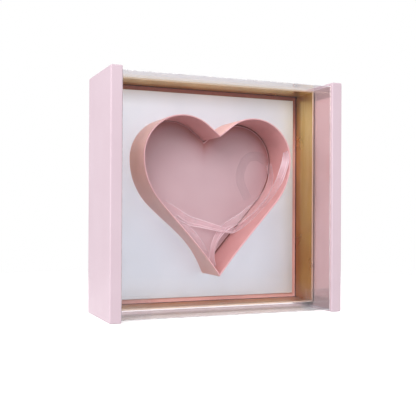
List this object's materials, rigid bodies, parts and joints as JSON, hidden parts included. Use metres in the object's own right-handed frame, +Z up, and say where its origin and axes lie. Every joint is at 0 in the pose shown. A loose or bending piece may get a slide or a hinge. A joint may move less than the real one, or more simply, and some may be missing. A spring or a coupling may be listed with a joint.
{
  "type": "heart display gift box",
  "caption": "Upright card gift box on two thick side cheeks, with a gold neck, a silver card, a deep heart-shaped well and a clear cover that pulls off the front.",
  "frame": {"origin": "middle of the footprint, on the surface that the cheeks stand on", "axes": "+Z up, +X to the right seen from the front, -Y towards the front where the clear cover is"},
  "size_m": [0.26, 0.088, 0.25],
  "materials": {
    "cover_board_pink": "satin soft-touch printed paper over board",
    "core_board": "raw grey board",
    "tray_pink": "satin printed paper over board",
    "neck_gold": "brushed gold metallic paper over board",
    "platform_pink": "satin printed paper over board",
    "card_silver": "pale silver-grey pearl card",
    "riser_board": "raw grey board",
    "heart_pink": "satin printed paper over thin board",
    "heart_floor_pink": "matte printed paper over board",
    "clear_sheet": "clear folded plastic sheet",
    "ribbon_satin": "pale pink satin"
  },
  "bodies": {
    "box": {"left_cheek_wrap": "cover_board_pink", "right_cheek_wrap": "cover_board_pink", "left_cheek_liner": "cover_board_pink", "right_cheek_liner": "cover_board_pink", "left_cheek_core": "core_board", "right_cheek_core": "core_board", "back_board": "tray_pink", "tray_wall_top": "tray_pink", "tray_wall_bottom": "tray_pink", "tray_wall_left": "tray_pink", "tray_wall_right": "tray_pink", "neck_top": "neck_gold", "neck_bottom": "neck_gold", "neck_left": "neck_gold", "neck_right": "neck_gold", "platform_risers": "riser_board", "platform_board": "platform_pink", "silver_card": "card_silver", "heart_wall_left": "heart_pink", "heart_wall_right": "heart_pink", "heart_base_board": "heart_floor_pink", "heart_floor_board": "heart_floor_pink", "ribbon": "ribbon_satin"},
    "cover": {"cover_wrap": "clear_sheet", "cover_side_left": "clear_sheet", "cover_side_right": "clear_sheet", "cover_tabs_left": "clear_sheet", "cover_tabs_right": "clear_sheet"}
  },
  "joints": [
    {"name": "cover_slide", "type": "slide", "parent": "box", "child": "cover", "axis": [0, -1, 0], "range_m": [0, 0.08]}
  ]
}
